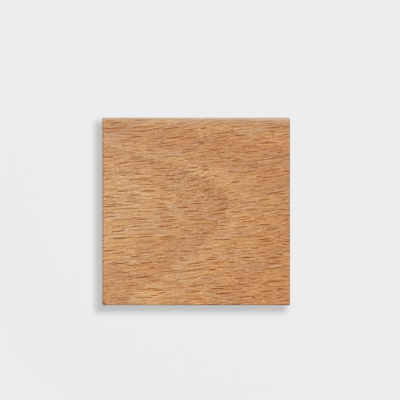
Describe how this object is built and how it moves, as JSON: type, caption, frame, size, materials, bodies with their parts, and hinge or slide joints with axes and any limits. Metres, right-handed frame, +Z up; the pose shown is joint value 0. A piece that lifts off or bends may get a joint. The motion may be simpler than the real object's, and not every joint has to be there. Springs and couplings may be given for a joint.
{
  "type": "wooden cube",
  "caption": "Solid beech cube with sanded edges, for use as a spacer, riser or block on a bench or desk.",
  "frame": {"origin": "middle of the base, on the surface that the cube stands on", "axes": "+Z up, out of the flat-sawn top face; +X along the grain, out of the right-hand end-grain face; +Y to the far side"},
  "size_m": [0.05, 0.05, 0.05],
  "materials": {
    "beech": "sanded and clear finished, satin"
  },
  "bodies": {
    "root": {"cube": "beech"}
  },
  "joints": []
}
